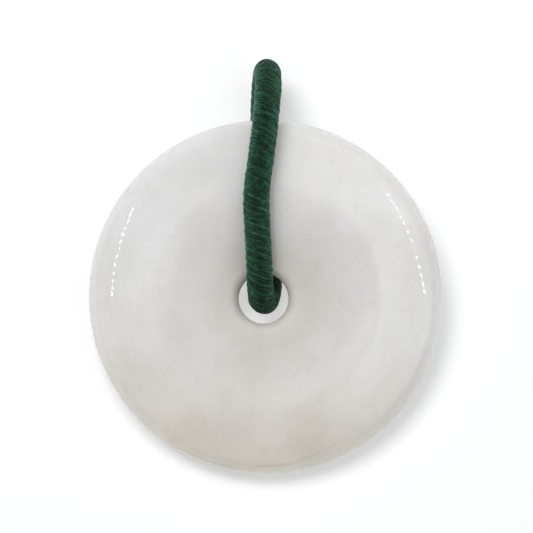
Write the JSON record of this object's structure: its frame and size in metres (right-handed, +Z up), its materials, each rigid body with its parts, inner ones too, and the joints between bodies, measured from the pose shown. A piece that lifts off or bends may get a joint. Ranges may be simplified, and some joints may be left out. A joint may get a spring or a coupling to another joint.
{
  "type": "jade disc pendant with cord bail",
  "caption": "Round white jade pendant with a domed band, a funnel down to its hole and a thread-wrapped cord loop as a bail, lying face up.",
  "frame": {"origin": "on the surface that the pendant lies on, straight under the middle of the disc", "axes": "+Z up out of the surface, +Y from the disc's middle towards the far end of the cord loop, +X to the right as seen from above with the loop at the top"},
  "size_m": [0.05, 0.0587, 0.0182],
  "materials": {
    "white_jade": "polished",
    "green_cord": "satin"
  },
  "bodies": {
    "root": {"jade_disc": "white_jade", "cord_loop": "green_cord"}
  },
  "joints": []
}
